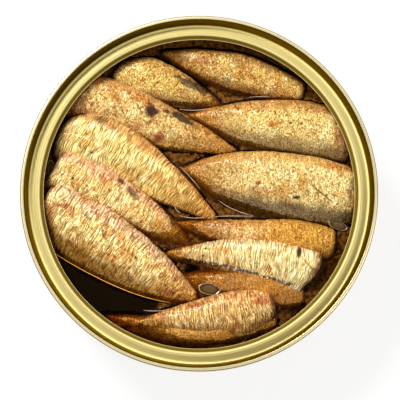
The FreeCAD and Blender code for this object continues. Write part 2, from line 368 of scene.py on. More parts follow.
def skin_material(name):
    """Oily smoked skin: the mesh's own colour, broken up finely, darker in the bump's hollows as painted
    shade and paler on its crests as painted highlight, under a thin wet coat.
    """
    shader = Shader(name)
    place = shader.read("skin_run", "Vector")
    bend = shader.spread(shader.noise(0.22, 1.0, 0.5, place), 0.3, 0.7, -0.5, 0.5)
    bent_place = shader.vector("ADD", shader.add("CombineXYZ", {0: bend})[0], place)[0]
    wrinkled = shader.noise(1.0, 1.5, 0.5, shader.vector("MULTIPLY", bent_place, WRINKLE_RUN)[0])
    grained = shader.noise(1.0, 2.0, 0.6, shader.vector("MULTIPLY", bent_place, GRAIN_RUN)[0])
    marks = shader.add("Mix", {0: shader.read("lined"), 2: grained, 3: wrinkled}, data_type="FLOAT")[0]
    strong = shader.spread(shader.noise(0.45, 3.0, 0.55, place), 0.36, 0.58, 0.5, 1.0)
    fine = shader.noise(5.0, 2.0, 0.6, place)
    # painted shade where the bump is low, painted highlight where it is high
    bump_shade, bump_highlight = (shader.maths("MULTIPLY", strong, shader.spread(marks, *reach))
                    for reach in ((0.51, 0.43), (0.53, 0.6)))
    shaded_skin = shader.dyed(bump_shade, shader.read("skin", "Color"), BUMP_HOLLOW_SHADE)
    height = shader.maths("ADD", shader.maths("MULTIPLY", fine, 0.4), shader.maths("MULTIPLY", marks, 2.4))
    shader.shape(Base_Color=shader.dyed(bump_highlight, shaded_skin, BUMP_CREST_HIGHLIGHT), Metallic=0.22, IOR=1.45,
                 Specular_Tint=rgba((1.0, 0.82, 0.58)), Roughness=shader.spread(fine, 0.3, 0.7, 0.24, 0.38),
                 Normal=shader.bump(height, SKIN_BUMP, 1.0),
                 Coat_Weight=0.32, Coat_Roughness=0.08, Coat_IOR=OIL_IOR)
    return shader.made


OIL_BLACK = 8.0  # mm of oil that let nothing through
OIL_TINTS = ((0.0, (1.0, 0.92, 0.66)), (0.1, (0.98, 0.82, 0.42)), (0.28, (0.86, 0.56, 0.15)),
             (0.55, (0.46, 0.22, 0.03)), (0.9, (0.08, 0.026, 0.005)))


def oil_material(name):
    """Amber oil seen from above: clear and golden where it is thin, almost black where it is deep, and
    painted an opaque mottled dark brown as shade between the sprats.
    """
    shader = Shader(name)
    place = shader.place()
    drift = shader.spread(shader.noise(160.0, 3.0, 0.5, place), 0.3, 0.7, -0.3, 0.3)
    depth = shader.maths("ADD", shader.read("depth"), drift)
    shaded_gaps = shader.read("shaded_gaps")
    tints = shader.banded(shader.maths("DIVIDE", depth, OIL_BLACK), OIL_TINTS)
    clear = shader.add("BsdfTransparent", {"Color": tints})[0]
    mottles = shader.spread(shader.noise(900.0, 3.0, 0.6, place), 0.38, 0.62)
    gap_shade = shader.blend(mottles, rgba((0.03, 0.009, 0.001)), rgba((0.17, 0.065, 0.011)))
    dim = shader.blend(shaded_gaps, rgba((0.006, 0.003, 0.001)), gap_shade)
    deep_and_shaded = shader.add("BsdfDiffuse", {"Color": dim})[0]
    cover = shader.maths("MAXIMUM", shader.spread(depth, 2.0, OIL_BLACK),
                         shader.maths("MULTIPLY", shaded_gaps, shader.spread(depth, 0.6, 2.8, 0.0, 0.85)))
    body = shader.add("MixShader", {0: cover, 1: clear, 2: deep_and_shaded})[0]
    gloss = shader.add("BsdfGlossy", {"Color": rgba((0.75, 0.6, 0.42)), "Roughness": 0.06})[0]
    edge = shader.add("Fresnel", {"IOR": OIL_IOR})[0]
    shader.shape("Material Output", Surface=shader.add("MixShader", {0: edge, 1: body, 2: gloss})[0])
    return shader.made


# ---------------------------------------- the tin

CORNER_REACH, CORNER_STEPS = 0.06 * MM, 3


def section_of(node):
    """The upright section of a turned CAD node, as (radius, height) points in order."""
    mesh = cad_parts[node].data
    points = {vertex.index: (round(vertex.co.x, 7), round(vertex.co.z, 7)) for vertex in mesh.vertices
              if abs(vertex.co.y) < 1e-7 and vertex.co.x > -1e-7}
    links = {}
    for edge in mesh.edges:
        first, second = (points.get(index) for index in edge.vertices)
        if first is not None and second is not None and first != second:
            links.setdefault(first, set()).add(second)
            links.setdefault(second, set()).add(first)
    ends = sorted(point for point, near in links.items() if len(near) == 1)
    walk = []
    onward = [ends[0] if ends else min(links)]
    while onward:
        walk.append(onward[0])
        onward = [point for point in sorted(links[walk[-1]]) if point not in walk]
    if ends:  # a flat middle has no points of its own on the axis
        walk = [(0.0, walk[0][1])] + walk + [(0.0, walk[-1][1])]
    return np.array(walk), not ends


def softened(section, closed):
    """The same section with each sharp corner drawn as a small curve."""
    count = len(section)
    drawn = []
    for index, corner in enumerate(section):
        before, after = section[index - 1] - corner, section[(index + 1) % count] - corner
        before_length, after_length = np.linalg.norm(before), np.linalg.norm(after)
        open_end = not closed and index in (0, count - 1)
        if open_end or before @ after < -0.6 * before_length * after_length:
            drawn.append(corner)
            continue
        start = corner + before / before_length * min(CORNER_REACH, 0.4 * before_length)
        end = corner + after / after_length * min(CORNER_REACH, 0.4 * after_length)
        drawn += [bent(start, corner, end, step / CORNER_STEPS) for step in range(CORNER_STEPS + 1)]
    return np.array(drawn)


def turned(name, node, segments):
    """A CAD node's section turned round the axis, fine enough to shade as true bends."""
    section, closed = section_of(node)
    drawn = softened(section, closed)
    rows = len(drawn)
    points, faces = [], []
    for step in range(segments):
        angle, after = 2 * math.pi * step / segments, (step + 1) % segments
        points += [(radius * math.cos(angle), radius * math.sin(angle), height) for radius, height in drawn]
        for row in range(rows if closed else rows - 1):
            below = (row + 1) % rows
            faces.append((step * rows + row, after * rows + row, after * rows + below, step * rows + below))
    piece = mesh_object(name, points, faces)
    tidy_mesh(piece)
    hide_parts(node)
    return piece


def make_tin():
    can = turned("can_body_looks", "can_body", 256)
    can.data.materials.append(can_material("can_lacquer", linear(214, 196, 120), 0.3))
    ring = turned("lid_ring_looks", "lid_ring", 320)
    ring.data.materials.append(ring_material("ring_lacquer_painted_light"))
    return [can, ring]


# ---------------------------------------- the sprats

def fish(form, middle, back, belly, bands, lines, grain, patches=1.0, tail=0.0, slant=0.0):
    """A sprat's form, as its solid has it: greatest depth in mm, the share of it that the cut end keeps,
    how full it stays towards the tail and where it is deepest.  Then its skin: the colours of its middle,
    back and belly, a dark belly being partly painted shade where the body turns down, how far the back and
    belly bands reach, how lined and grainy it is and how far it pales.
    Last, in mm, how far its tail goes on under the oil past its solid and how far the belly side of its cut
    end draws back."""
    return dict(form=form, middle=linear(*middle), back=linear(*back), belly=linear(*belly), bands=bands,
                lines=lines, grain=grain, patches=patches, tail=tail * MM, slant=slant * MM)


SPRATS = {
    "sprat_left_5": fish((18.5, 0.76, 2.45, 0.25), (252, 218, 138), (236, 194, 146), (160, 112, 34),
        (0.22, 0.33), 1.0, 1.1, tail=1.5),
    "sprat_right_6": fish((13.0, 0.62, 1.3, 0.26), (240, 198, 122), (226, 166, 96), (208, 160, 88),
        (0.22, 0.25), 1.1, 0.9, tail=6.0),
    "sprat_left_4": fish((16.9, 0.83, 1.5, 0.28), (244, 208, 128), (228, 176, 126), (160, 106, 40),
        (0.2, 0.3), 0.7, 1.0),
    "sprat_right_5": fish((13.5, 0.9, 1.4, 0.21), (252, 228, 156), (240, 208, 148), (228, 202, 160),
        (0.16, 0.16), 0.9, 0.5, slant=5.0),
    "sprat_left_3": fish((20.0, 0.52, 1.3, 0.17), (246, 218, 132), (228, 174, 100), (238, 202, 108),
        (0.16, 0.2), 1.0, 0.5, tail=2.5, slant=1.0),
    "sprat_right_4": fish((12.8, 0.62, 1.4, 0.3), (232, 184, 108), (230, 170, 84), (206, 146, 72),
        (0.25, 0.2), 0.3, 1.0, patches=0.3, tail=4.0),
    "sprat_left_2": fish((16.4, 0.82, 1.5, 0.25), (236, 200, 122), (222, 166, 92), (208, 160, 78),
        (0.16, 0.25), 0.3, 1.2, tail=2.5),
    "sprat_right_3": fish((18.6, 0.77, 3.3, 0.28), (248, 220, 142), (232, 184, 98), (120, 102, 68),
        (0.16, 0.28), 0.3, 1.0, tail=4.5),
    "sprat_left_1": fish((13.9, 0.54, 1.3, 0.28), (244, 208, 114), (228, 178, 90), (212, 190, 134),
        (0.2, 0.25), 0.15, 1.1, tail=1.0),
    "sprat_right_2": fish((16.1, 0.97, 2.2, 0.28), (248, 218, 132), (218, 164, 84), (172, 146, 92),
        (0.18, 0.3), 0.2, 0.9, tail=4.5, slant=1.0),
    "sprat_right_1": fish((11.4, 0.54, 1.6, 0.46), (232, 190, 100), (206, 158, 80), (160, 108, 44),
        (0.2, 0.2), 0.15, 1.2, tail=1.5),
    "sprat_under_south": fish((11.0, 0.8, 2.6, 0.22), (206, 150, 64), (206, 136, 44), (150, 96, 30),
        (0.2, 0.3), 0.3, 0.8, patches=0.15),
    "sprat_under_middle": fish((12.0, 0.8, 2.2, 0.22), (178, 118, 40), (184, 122, 40), (140, 80, 24),
        (0.2, 0.3), 0.3, 0.8, patches=0.15),
    "sprat_under_east": fish((15.0, 0.9, 2.2, 0.22), (196, 130, 56), (190, 120, 50), (150, 92, 36),
        (0.2, 0.3), 0.3, 0.8, patches=0.15),
}

# Marks on the skin: where along the sprat (0 at the cut end) and across it (1 at the back edge, -1 at the
# belly's), half its length and half its width in mm, how far it leans from the sprat's run in degrees,
# its colour, how strongly it covers, and how ragged it is.  The broad marks across a cut end are partly
# painted shade where the sprat goes under the rim, and the thin brown lines on right_3 and right_5 are
# painted shade along creases.
PURPLE, ORANGE, BROWN = (70, 8, 14), (238, 158, 62), (52, 20, 6)
RUST, SOOT = (186, 92, 30), (40, 18, 8)
MARKS = {
    "sprat_left_5": [(0.203, 0.83, 1.4, 0.8, 0, ORANGE, 0.7, 0.5),
        (0.113, 0.37, 1.5, 0.9, 20, RUST, 0.6, 0.8), (0.152, 0.37, 2.4, 1.2, 10, RUST, 0.55, 0.9),
        (0.25, 0.45, 2.4, 0.4, 10, SOOT, 0.6, 0.9), (0.482, 0.43, 2.4, 0.9, 75, ORANGE, 0.65, 0.4),
        (0.372, 0.33, 1.6, 0.25, 50, SOOT, 0.8, 0.2), (0.6, 0.23, 0.4, 0.35, 0, SOOT, 0.9, 0.1),
        (0.848, -0.39, 1.5, 1.1, 0, RUST, 0.6, 0.6), (0.78, -0.85, 1.6, 0.6, 0, (96, 20, 12), 0.7, 0.6),
        (0.06, -0.1, 1.6, 4.5, 0, RUST, 0.5, 0.9)],
    "sprat_left_4": [(0.143, 0.09, 0.4, 0.35, 0, SOOT, 0.9, 0.1),
        (0.307, 0.53, 1.5, 0.9, 30, RUST, 0.65, 0.7), (0.413, 0.8, 1.3, 0.6, 0, (90, 26, 18), 0.8, 0.6),
        (0.517, 0.7, 3.0, 0.9, 10, BROWN, 0.6, 0.9), (0.22, 0.3, 2.0, 1.0, 20, ORANGE, 0.35, 0.9)],
    "sprat_left_3": [(0.152, 0.29, 0.4, 0.35, 0, SOOT, 1.0, 0.0),
        (0.23, -0.17, 0.5, 0.35, 0, SOOT, 0.8, 0.1), (0.177, 0.82, 1.8, 0.9, 0, BROWN, 0.55, 0.9),
        (0.24, 0.75, 1.6, 0.8, 0, RUST, 0.5, 0.9), (0.45, 0.74, 5.0, 1.1, 0, ORANGE, 0.6, 0.5),
        (0.05, 0.3, 1.2, 3.0, 0, RUST, 0.35, 0.9)],
    "sprat_left_2": [(0.492, 0.43, 1.7, 1.9, 40, PURPLE, 0.97, 0.35),
        (0.475, 0.62, 1.0, 0.9, 0, PURPLE, 0.7, 0.6), (0.58, -0.52, 1.9, 1.4, 0, RUST, 0.7, 0.6),
        (0.425, -0.33, 1.8, 1.3, 0, RUST, 0.5, 0.7), (0.667, 0.78, 4.8, 0.9, 0, BROWN, 0.85, 0.8),
        (0.4, 0.72, 2.4, 1.1, 0, ORANGE, 0.7, 0.5), (0.12, -0.36, 2.4, 2.6, 0, RUST, 0.4, 0.9)],
    "sprat_left_1": [(0.66, 0.62, 3.4, 0.9, 0, BROWN, 0.75, 0.9),
        (0.8, 0.75, 2.4, 0.8, 0, SOOT, 0.7, 0.9)],
    "sprat_right_1": [(0.72, 0.1, 4.0, 1.4, 10, RUST, 0.45, 0.9),
        (0.45, 0.4, 4.0, 1.0, -10, RUST, 0.35, 0.9), (0.9, 0.0, 3.0, 1.6, 0, BROWN, 0.35, 0.9)],
    "sprat_right_2": [(0.5, 0.05, 2.5, 0.65, 18, ORANGE, 0.85, 0.1),
        (0.408, 0.16, 0.5, 0.35, 30, SOOT, 0.9, 0.1), (0.345, 0.19, 0.35, 0.35, 0, SOOT, 0.9, 0.1),
        (0.08, 0.2, 3.4, 5.0, 0, RUST, 0.5, 0.9), (0.16, 0.75, 5.0, 1.0, 0, RUST, 0.4, 0.9)],
    "sprat_right_3": [(0.578, -0.03, 0.9, 0.5, 20, RUST, 0.9, 0.3),
        (0.352, -0.3, 1.3, 0.5, 12, BROWN, 0.9, 0.4),
        # a thin brown line of painted shade along a crease
        (0.22, -0.03, 4.7, 0.22, -30, (132, 92, 48), 0.8, 0.0),
        (0.17, 0.84, 4.0, 0.8, 5, ORANGE, 0.75, 0.2), (0.05, 0.3, 0.9, 3.6, 0, (110, 62, 24), 0.6, 0.9),
        (0.6, -0.25, 3.5, 1.2, 0, RUST, 0.3, 0.9)],
    "sprat_right_4": [(0.2, 0.3, 11.0, 5.0, 0, (244, 178, 62), 0.85, 0.2)],
    "sprat_right_5": [(0.02, 0.0, 1.1, 6.5, 0, (140, 90, 40), 0.6, 0.9),
        (0.147, 0.7, 0.65, 1.4, 0, (72, 28, 16), 0.95, 0.2),
        # the first, a thin brown line, is painted shade along a crease
        (0.06, 0.32, 3.4, 0.2, -28, (150, 104, 52), 0.8, 0.0), (0.743, 0.5, 0.35, 0.3, 0, SOOT, 0.9, 0.1),
        (0.753, -0.15, 0.35, 0.3, 0, SOOT, 0.9, 0.1)],
    "sprat_right_6": [(0.01, 0.0, 0.9, 6.5, 0, (140, 84, 36), 0.6, 0.9),
        (0.088, 0.46, 2.3, 1.1, 0, (214, 112, 34), 0.8, 0.4), (0.555, 0.7, 3.0, 0.8, 0, RUST, 0.6, 0.6),
        (0.463, -0.85, 1.4, 0.8, 0, (150, 144, 120), 0.6, 0.4),
        (0.278, -0.56, 1.6, 0.9, 0, RUST, 0.6, 0.6)],
}
THICKNESS = 8.6 * MM
ROLL = math.radians(10)
TAIL_SHARE, BACK_FULLNESS = 0.15, 0.22
END_INSET, END_REACH, STATIONS = 0.2 * MM, 4 * MM, 60
CAP_STEPS, CAP_DEPTH = (0.2, 0.45, 0.72, 0.9), 0.35  # shares of an end's radius, and its bulge in mm
SKIN_STEPS, UNDER_STEPS = (212, 116), (120, 72)  # points along and round a sprat in a row, and below them
# The tail's deeper gold and the brown at the cut end are partly painted shade; the far side's brown is
# painted shade.
CREAM, AMBER, TAIL_GOLD_AND_SHADE = linear(255, 242, 172), linear(216, 148, 44), linear(186, 122, 24)
CUT_END_BROWN_AND_SHADE, UNDERSIDE_SHADE, HIND_BROWN = linear(120, 62, 24), linear(112, 60, 20), linear(150, 96, 60)
SCUTE_GREY, CUT_FLESH_AND_SHADE, TAIL_FLESH = linear(64, 46, 60), linear(104, 56, 24), linear(150, 90, 26)
# What a skin's colour is multiplied by as painted shade in its pits, valleys, cracks and crevices, and by
# the oil's tint under the oil.
PIT_SHADE, VALLEY_SHADE, CRACK_SHADE = (0.46, 0.25, 0.07), (0.6, 0.42, 0.15), (0.55, 0.34, 0.12)
CREVICE_SHADE, UNDER_OIL = (0.4, 0.2, 0.05), (0.98, 0.82, 0.45)
UP = np.array([0.0, 0.0, 1.0])


def back_edge(node):
    """A sprat's middle, run and side, and the stations along it with its back edge and crest at each."""
    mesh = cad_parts[node].data
    points = read_mesh(mesh.vertices, "co", np.float32, 3).astype(float)
    edges = read_mesh(mesh.edges, "vertices", np.int32, 2)
    middle = points[:, :2].mean(0)
    run, cross = np.linalg.svd(points[:, :2] - middle, full_matrices=False)[2]
    along = (points[:, :2] - middle) @ run
    far, near = (np.ptp(points[end][:, :2] @ cross)
                 for end in (along > along.max() - END_REACH, along < along.min() + END_REACH))
    if far > near:
        run, along = -run, -along
    side = np.array([-run[1], run[0]])
    if side[1] < 0:
        side = -side
    rows = []
    for station in np.linspace(along.min() + END_INSET, along.max() - END_INSET, STATIONS):
        first, second = along[edges[:, 0]] - station, along[edges[:, 1]] - station
        crossing = first * second < 0
        share = (first[crossing] / (first[crossing] - second[crossing]))[:, None]
        start, end = points[edges[crossing, 0]], points[edges[crossing, 1]]
        met = start + (end - start) * share
        rows.append((station, ((met[:, :2] - middle) @ side).max(), met[:, 2].max()))
    return middle, run, side, np.array(rows).T


def fullness_along(looks, share):
    """How much of its greatest depth a sprat has at a share of its length from the cut end."""
    _, cut, fullness, widest = looks["form"]
    rising = cut + (1 - cut) * np.sin(np.pi / 2 * np.clip(share / widest, 0, 1))
    past = np.clip((share - widest) / (1 - widest), 0, 1)
    return np.where(share < widest, rising, TAIL_SHARE + (1 - TAIL_SHARE) * (1 - past ** fullness))


def upper_fit(terms, values):
    """Weights of the terms that follow the upper edge of the values, where nothing has cut them back."""
    kept = np.ones(len(values), dtype=bool)
    for _ in range(12):
        weights = np.linalg.lstsq(terms[kept], values[kept], rcond=None)[0]
        short = values - terms @ weights
        kept = short > min(-0.12 * MM, np.quantile(short, 0.3))
    return weights


class Spine:
    """The run of one sprat as its CAD solid has it: its middle line, its sides and how high it lies."""

    def __init__(self, node):
        self.start, self.run, self.side, (station, back, crest) = back_edge(node)
        self.first, self.last = station[0] - END_INSET, station[-1] + END_INSET
        share = (station - self.first) / (self.last - self.first)
        full = fullness_along(SPRATS[node], share)
        depth = SPRATS[node]["form"][0] * MM * full
        edge = self.start + np.outer(station, self.run) + np.outer(back, self.side)
        free = np.hypot(*edge.T) < PACK_RADIUS - 0.3 * MM
        bowed = np.column_stack([np.ones_like(share), share, np.sin(np.pi * share)])
        self.across = upper_fit(bowed[free], (back - depth / 2 * math.cos(ROLL))[free])
        self.height = upper_fit(bowed[:, :2].copy(), crest - THICKNESS * full ** 0.8 / 2)

    def middle(self, share):
        across = self.across[0] + self.across[1] * share + self.across[2] * np.sin(np.pi * share)
        along = self.first + share * (self.last - self.first)
        flat = self.start + along[..., None] * self.run + across[..., None] * self.side
        return np.concatenate([flat, (self.height[0] + self.height[1] * share)[..., None]], axis=-1)


def sprat_grid(node, along_steps, round_steps):
    """Places on a sprat's smooth body: a grid of points, and where each lies on the fish."""
    spine, looks = Spine(node), SPRATS[node]
    length = spine.last - spine.first
    longer = looks["tail"] / length
    share = np.linspace(0, 1 + longer, along_steps)[:, None]
    # the rounds crowd on the upper side, which is the side that shows
    turn = np.linspace(-math.pi, math.pi, round_steps, endpoint=False)
    turn = (turn - 0.275 * np.sin(2 * (turn - math.pi / 2)))[None, :]
    whole = np.ones_like(share * turn)
    full = fullness_along(looks, np.minimum(share, 1))
    if longer:
        stalk = 0.17 - 0.07 * np.clip((share - 1) / longer, 0, 1)
        full = np.maximum(full, stalk * ramp(share, 0.6, 0.85))
    near_cut, near_tail, near_end = (
        np.clip(1 - away * length / (reach * MM), 0, 1)
        for away, reach in ((share, 1.1), (1 + longer - share, 2.0), (share, 11)))
    rounding = np.sqrt(1 - 0.3 * near_cut ** 2) * np.sqrt(1 - 0.85 * near_tail ** 2)
    side = np.append(spine.side, 0.0)
    across = side * math.cos(ROLL) + UP * math.sin(ROLL)
    upward = UP * math.cos(ROLL) - side * math.sin(ROLL)
    half_depth = looks["form"][0] * MM * full / 2 * rounding
    half_thick = THICKNESS * full ** 0.8 / 2 * rounding
    low_belly = ramp(-np.cos(turn), 0.1, 0.9) * ramp(-np.sin(turn), -0.75, 0.1)
    sideways = half_depth * np.cos(turn) - low_belly * np.minimum(half_depth * 0.16, 1.3 * MM)
    raised = half_thick * np.sin(turn) * (1 + BACK_FULLNESS * np.cos(turn))
    points = (spine.middle(share[:, 0])[:, None, :] + sideways[..., None] * across
              + raised[..., None] * upward)
    belly = (1 - np.cos(turn)) / 2 * whole
    inward = looks["slant"] * belly ** 2 * near_end
    points = points + inward[..., None] * np.append(spine.run, 0.0)
    # the length round the skin from the middle of the upper side, towards the back positive
    steps = np.linalg.norm(np.diff(points, axis=1, append=points[:, :1]), axis=2) / MM
    laid_round = np.cumsum(steps, axis=1)
    top = int(np.argmin(np.abs(turn[0] - math.pi / 2)))
    points[..., 2] -= 1.6 * MM * ramp(share, 0.97, 1 + longer + 0.02) * (longer > 0)
    return dict(points=points, belly=belly, length=length / MM, along=share * length / MM * whole,
                round=laid_round[:, top:top + 1] - laid_round, half=half_depth / MM,
                across=half_depth / MM * np.cos(turn),
                far=ramp(np.abs(turn - math.pi / 2), 1.45, 1.9) * whole)


def grid_normals(points):
    """Outward ways of a grid that closes round its second axis."""
    around = np.roll(points, -1, axis=1) - np.roll(points, 1, axis=1)
    normals = np.cross(around, np.gradient(points, axis=0))
    normals = normals / np.maximum(np.linalg.norm(normals, axis=2, keepdims=True), 1e-12)
    outward = ((points - points.mean(axis=1, keepdims=True)) * normals).sum() > 0
    return normals if outward else -normals


def clouds_on(grid):
    """Noise over a sprat's skin, made by its length and width in mm, its own number and its octaves."""
    def clouds(long, wide, number, octaves=1):
        return cloudy(grid["along"] / long, grid["round"] / wide, grid["salt"] + number, octaves)
    return clouds


def skin_relief(looks, grid):
    """Height of the skin above the smooth body in mm, with the patterns that its colour follows."""
    along, around, salt, clouds = grid["along"], grid["round"], grid["salt"], clouds_on(grid)
    warp = 0.6 * clouds(5.0, 4.6, 1) + 0.08 * clouds(1.6, 1.4, 2)
    lean = 0.3 * np.abs(around - 0.8) - 0.16 * around
    ridges = np.sin(2 * np.pi * (along + lean + warp) / 0.84 + 0.3 * clouds(1.4, 1.8, 8))
    ridges = ridges * (0.55 + 0.45 * clouds(0.8, 0.7, 10))
    patchy = ramp(clouds(3.6, 2.2, 3), -0.5, 0.5)
    near, second, number = cells((along + 0.4 * warp) / 0.75, (around + 0.3 * warp) / 0.95, salt + 4)
    pits = ramp(clouds(0.42, 0.5, 9), 0.3, 0.75)
    scales = ramp(second - near, 0.02, 0.4) * 0.07 + (number - 0.5) * 0.06
    lumps = 0.4 * clouds(8.5, 6.0, 5, 3) + 0.12 * clouds(2.6, 2.2, 6, 2)
    off_lateral = around - 1.6 - 0.5 * smooth_noise(along / 7, along * 0, salt + 7)
    lateral = -0.1 * np.exp(-(off_lateral / 0.45) ** 2)
    height = (ridges * (0.3 + 0.7 * patchy) * 0.12 * looks["lines"]
              + (scales - 0.05 * pits) * looks["grain"] + lumps + lateral)
    return dict(height=height, ridges=ridges, patchy=patchy, number=number, pits=pits, edge=second - near)


def golden(tint, light):
    """A tint made lighter or darker as gold does: its shade falls to amber and its light rises to cream."""
    return tint * np.stack([light, light ** 1.3, light ** 2.2], axis=-1)


def covered(tint, *layers):
    """A tint with colours laid over it, each by its own share at each place."""
    for colour, share in layers:
        tint = tint * (1 - share[..., None]) + np.asarray(colour) * share[..., None]
    return tint


def skin_colours(node, grid, shade):
    """The colour of the skin at each place: its bands, marks and grain, darker where it is hemmed in."""
    looks, relief, salt, clouds = SPRATS[node], grid["relief"], grid["salt"], clouds_on(grid)
    along, around, lined, grain = grid["along"], grid["round"], looks["lines"], looks["grain"]
    length, across, half, far = grid["length"], grid["across"], grid["half"], grid["far"]
    place = grid["belly"] + 0.10 * clouds(5.0, 4.0, 20, 3)
    back, belly = looks["bands"][0], 1 - looks["bands"][1]
    tint = covered(
        np.ones(place.shape + (3,)) * looks["middle"],
        (looks["middle"] * 0.3 + CREAM * 0.7,
         0.8 * looks["patches"] * ramp(clouds(3.2, 2.6, 21, 4), 0.0, 0.4)),
        (AMBER, 0.6 * ramp(clouds(4.2, 3.2, 22, 4), 0.08, 0.45)),
        (looks["back"], 0.9 * ramp(place, back + 0.06, back - 0.08)),
        (looks["belly"], 0.92 * ramp(place, belly - 0.10, belly + 0.12)))
    if node == "sprat_right_4":  # its hinder half is browner
        tint = covered(tint, (HIND_BROWN, 0.6 * ramp(along / length, 0.55, 0.8)))
    # where it tapers and where it was cut, a deeper gold and a brown that are partly painted shade, and its
    # far side darkened as painted shade
    tint = covered(tint, (TAIL_GOLD_AND_SHADE, 0.85 * ramp(along / length, 0.6, 0.95)),
                   (CUT_END_BROWN_AND_SHADE, 0.75 * ramp(along + 0.8 * clouds(1.5, 1.5, 27, 2), 1.6, 0.1)),
                   (UNDERSIDE_SHADE, 0.85 * far))
    for at_along, at_across, half_long, half_wide, lean, colour, cover, ragged in MARKS.get(node, ()):
        long_way, wide_way = spun(along - at_along * length, across - at_across * half, lean)
        edge = np.hypot(long_way / half_long, wide_way / half_wide) + ragged * 0.9 * clouds(1.1, 1.1, 28, 3)
        share = min(1.0, cover * 1.1) * ramp(edge, 1.35, 0.7) * (1 - far)
        tint = covered(tint, (linear(*colour) * 0.8, share))
    # fine grain: scales of random tone, the wrinkle ridges painted lighter and their hollows darker, and
    # painted shade in the pits, valleys and cracks between them
    spots = hashed(np.floor(along / 0.3), np.floor(around / 0.34), salt=salt + 24)
    light = 1 + grain * (0.35 * (relief["number"] - 0.5) + 0.3 * (spots - 0.5))
    tint = golden(tint, np.clip(light + 0.2 * lined * relief["ridges"], 0.3, 1.6))
    dense = ramp(clouds(6.0, 4.0, 25, 3), -0.5, 0.3)
    pitted = grain * relief["pits"] * (0.35 + 0.65 * dense)
    valleys = lined * ramp(-relief["ridges"], 0.35, 0.95) * (0.25 + 0.75 * relief["patchy"])
    cracks = grain * ramp(relief["edge"], 0.16, 0.0) * (0.3 + 0.7 * relief["patchy"])
    for shaded_by, cover, share in ((PIT_SHADE, 0.95, pitted), (VALLEY_SHADE, 0.6, valleys), (CRACK_SHADE, 0.7, cracks)):
        tint = covered(tint, (tint * shaded_by, cover * np.clip(share, 0, 1)))
    if node == "sprat_right_5":  # the keel of dark scutes along its belly
        row = np.exp(-((across + 0.72 * half) / 0.75) ** 2)
        spots = hashed(np.floor(along / 0.55), np.floor(around / 0.5), salt=salt + 29)
        scutes = ramp(row * (0.5 + spots), 0.62, 0.8) * ramp(along, 4.0, 6.0) * ramp(along, 43.0, 38.0)
        tint = covered(tint, (SCUTE_GREY, 0.85 * scutes))
    # painted shade in the crevices and under the rim, then the oil's amber tint painted on what lies in it
    hemmed = (0.4 if "under" in node else 1.0) * np.minimum(1, 1.15 * shade)
    tint = covered(tint, (tint * CREVICE_SHADE, hemmed))
    sunk = ramp(OIL_LEVEL + 0.9 * MM - grid["points"][..., 2], 0.0, 4.5 * MM)
    return covered(tint, (tint * UNDER_OIL, sunk))


def shaped_sprat(node, order):
    """A sprat's skin as a grid with its relief, kept inside the round that the pack was pressed into."""
    grid = sprat_grid(node, *(UNDER_STEPS if "under" in node else SKIN_STEPS))
    grid["salt"] = 100 * (order + 1)
    grid["relief"] = skin_relief(SPRATS[node], grid)
    grid["points"] += grid_normals(grid["points"]) * (grid["relief"]["height"] * MM)[..., None]
    keep_inside(grid["points"])
    return grid


def keep_inside(points):
    away = np.hypot(points[..., 0], points[..., 1])
    points[..., :2] *= np.minimum(1, (PACK_RADIUS - 0.05 * MM) / np.maximum(away, 1e-9))[..., None]


def cap_rings(ring, neighbour, salt):
    """Rings that close an end of a sprat, from its middle outward, a little bulged and rough."""
    centre = ring.mean(0)
    outward = (ring - neighbour).mean(0)
    outward = outward / np.linalg.norm(outward)
    turn = np.linspace(0, 2 * np.pi, len(ring), endpoint=False)
    rings = []
    for closeness in CAP_STEPS:
        rough = smooth_noise(np.cos(turn) * 3 * closeness + 9, np.sin(turn) * 3 * closeness + 9, salt)
        lift = ((1 - closeness ** 2) * CAP_DEPTH + 0.18 * rough) * MM
        rings.append(centre + (ring - centre) * closeness + lift[:, None] * outward)
    rings = np.array(rings)
    keep_inside(rings)
    return rings, rings[0].mean(0)


def dressed_sprat(node, grid, shade):
    """The mesh of a sprat with its colours, its run in mm and a map of its own to bake on."""
    salt, points, caps = grid["salt"], grid["points"], len(CAP_STEPS)
    start, start_pole = cap_rings(points[0], points[1], salt + 40)
    end, end_pole = cap_rings(points[-1], points[-2], salt + 41)
    rows = np.concatenate([start, points, end[::-1]])
    count, rounds = rows.shape[:2]
    mottled = 0.75 + 0.5 * hashed(np.arange(caps * rounds), salt=salt)
    # the cut ends' flesh, its dark brown partly painted shade
    colours = np.concatenate([CUT_FLESH_AND_SHADE * mottled.reshape(caps, rounds, 1), skin_colours(node, grid, shade),
                              TAIL_FLESH * np.ones((caps, rounds, 1))])
    runs = np.stack([grid["along"], grid["round"], 0 * grid["along"]], axis=-1)
    inset = 3.0 * (1 - np.array(CAP_STEPS))[:, None, None] * np.array([1.0, 0, 0])
    runs = np.concatenate([runs[:1] - inset, runs, runs[-1:] + inset[::-1]])
    poles, last = count * rounds, (count - 1) * rounds
    faces = ring_faces(count, rounds)
    faces += [(poles, (step + 1) % rounds, step) for step in range(rounds)]
    faces += [(last + step, last + (step + 1) % rounds, poles + 1) for step in range(rounds)]
    everything = np.vstack([rows.reshape(-1, 3), start_pole, end_pole])
    first, second, third = everything[np.array([face[:3] for face in faces])].transpose(1, 0, 2)
    if (np.cross(second - first, third - first) * (first - everything.mean(0))).sum() < 0:
        faces = [face[::-1] for face in faces]
    piece = mesh_object(node + "_looks", everything, faces)
    with_poles = lambda values: np.vstack([values.reshape(-1, 3), values[0, :1], values[-1, :1]])
    add_colour(piece, "skin", np.clip(with_poles(colours), 0, 1))
    add_values(piece, "lined", np.full(len(everything), min(1.0, SPRATS[node]["lines"])))
    add_values(piece, "skin_run", with_poles(runs), "FLOAT_VECTOR", "vector")
    unrolled(piece, count, rounds)
    piece.data.materials.append(SKIN)
    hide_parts(node)
    return piece


